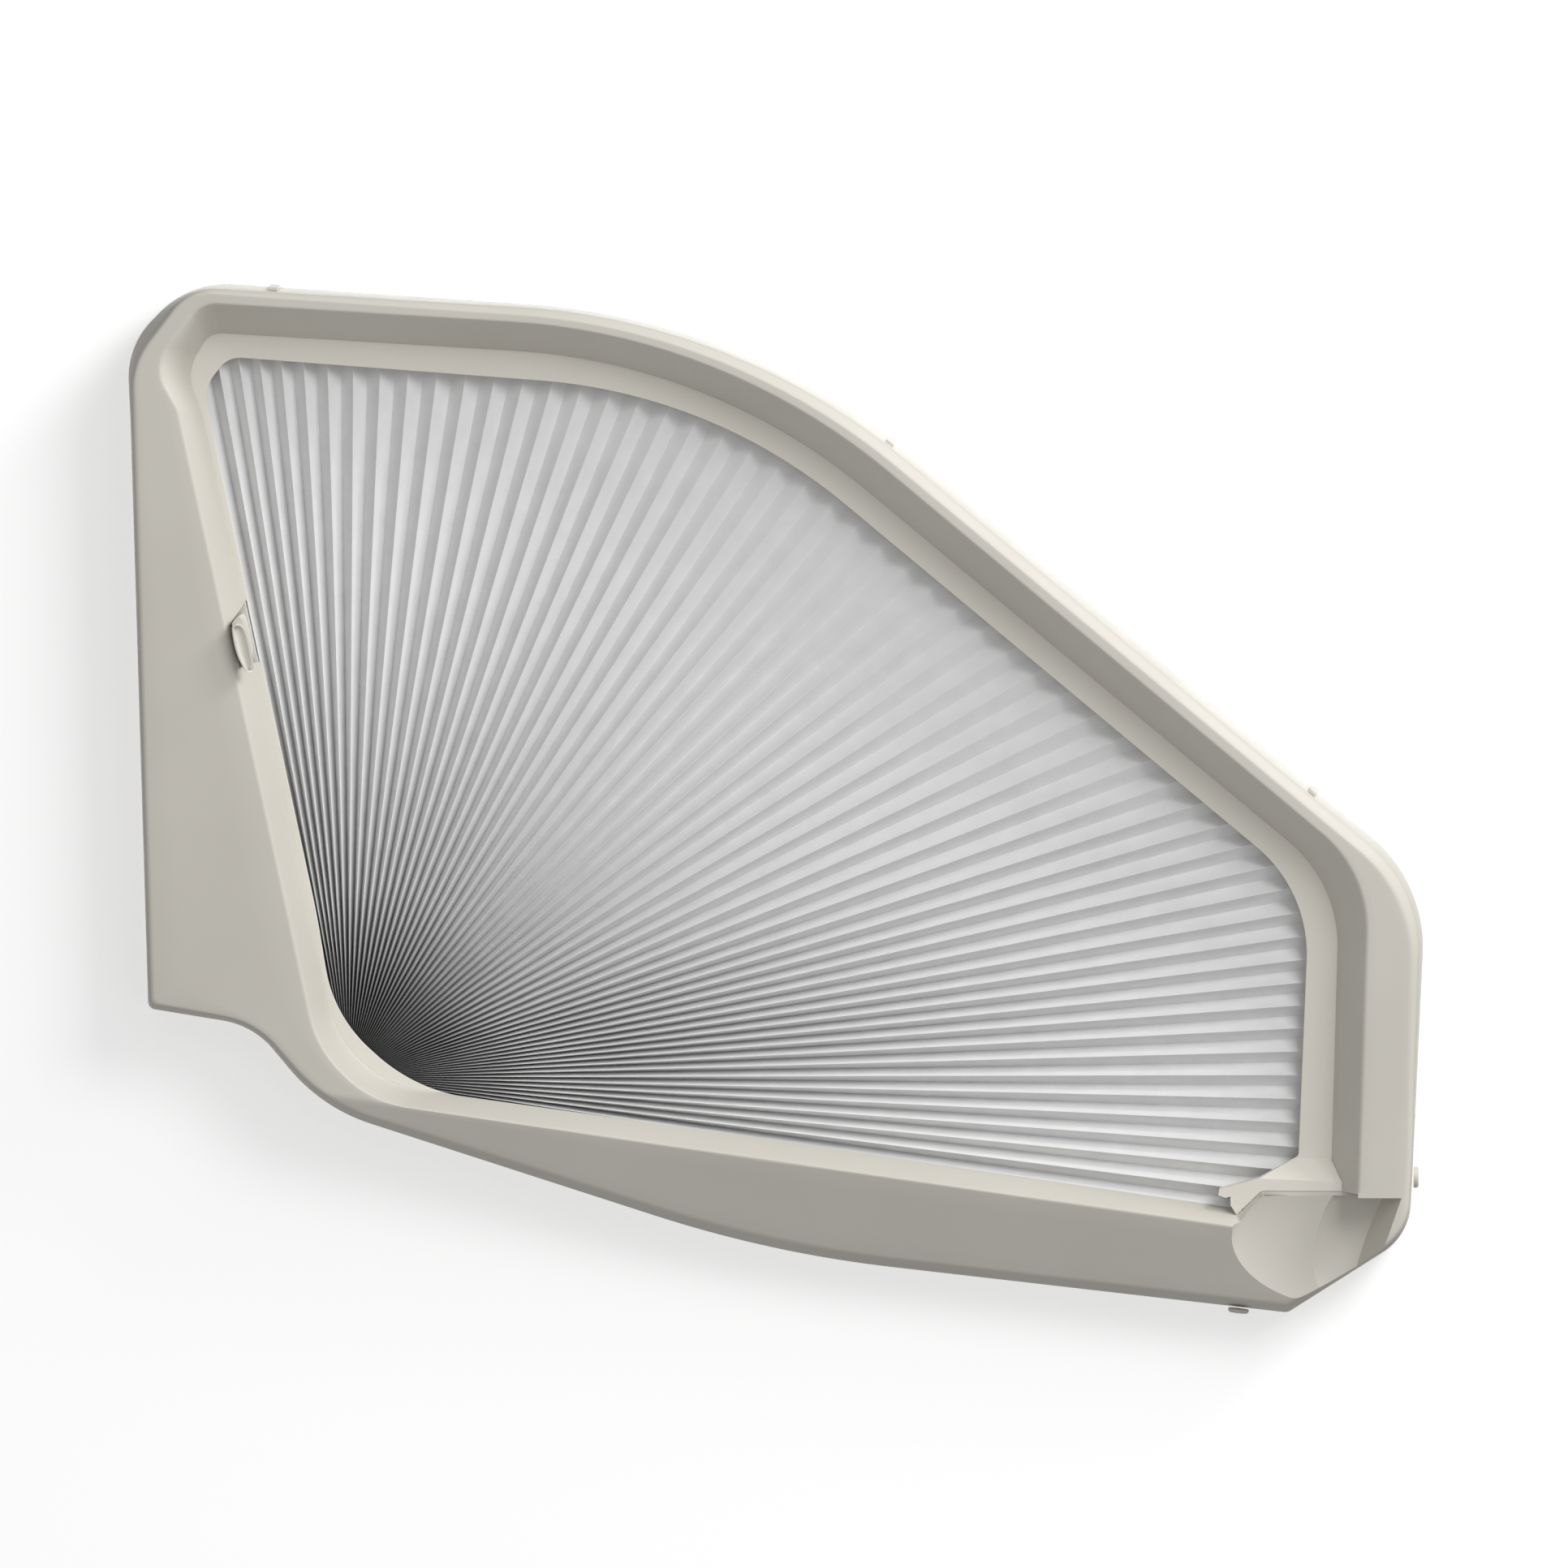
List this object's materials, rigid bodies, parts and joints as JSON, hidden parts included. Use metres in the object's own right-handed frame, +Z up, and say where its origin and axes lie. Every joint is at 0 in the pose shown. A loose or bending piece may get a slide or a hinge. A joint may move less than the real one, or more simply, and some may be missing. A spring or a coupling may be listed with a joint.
{
  "type": "window blackout blind",
  "caption": "Moulded side-window frame with a pleated blackout screen that fans about a corner pivot, an end rail with a finger grip, and a finger scoop.",
  "frame": {"origin": "on the rear plane, on the axis of the fan's pivot at the lower left corner", "axes": "+X along the blind to the right as seen from the front, +Z up, +Y out of the rear face towards the window; the front faces -Y"},
  "size_m": [0.8783, 0.0699, 0.6975],
  "materials": {
    "casing": "fine satin moulding",
    "backing": "plain moulding",
    "pleat": "stiff pleated cloth with a coated back",
    "rail": "powder coated",
    "grip": "satin moulding",
    "slide": "smooth sliding plastic",
    "steel": "plain steel",
    "magnet": "plated block",
    "buffer": "soft rubber"
  },
  "bodies": {
    "frame": {"front_cover": "casing", "guide_frame": "casing", "rear_plate": "backing", "frame_screw_1": "steel", "frame_screw_2": "steel", "frame_screw_3": "steel", "frame_screw_4": "steel", "frame_screw_5": "steel", "frame_screw_6": "steel", "frame_screw_7": "steel", "frame_screw_8": "steel", "frame_screw_9": "steel", "frame_screw_10": "steel", "frame_screw_11": "steel", "frame_screw_12": "steel", "pivot_pin": "steel", "hub_washer_rear": "slide", "hub_washer_front": "slide", "pivot_screw": "steel", "fixed_clamp": "rail", "pleated_screen": "pleat", "closed_magnet": "magnet", "closed_stop": "buffer", "edge_clip_1": "casing", "edge_clip_2": "casing", "edge_clip_3": "casing", "side_peg": "casing", "sill_peg": "casing"},
    "rail": {"rail_hub": "slide", "end_rail": "rail", "rail_shoe": "slide", "rail_strap": "rail", "finger_grip": "grip", "grip_screw": "steel", "keeper_plate": "steel"}
  },
  "joints": [
    {"name": "rail_swing", "type": "hinge", "parent": "frame", "child": "rail", "pos_m": [0, 0, 0], "axis": [0, 1, 0], "range_deg": [0, 110.1], "deforming": ["pleated_screen"]}
  ]
}
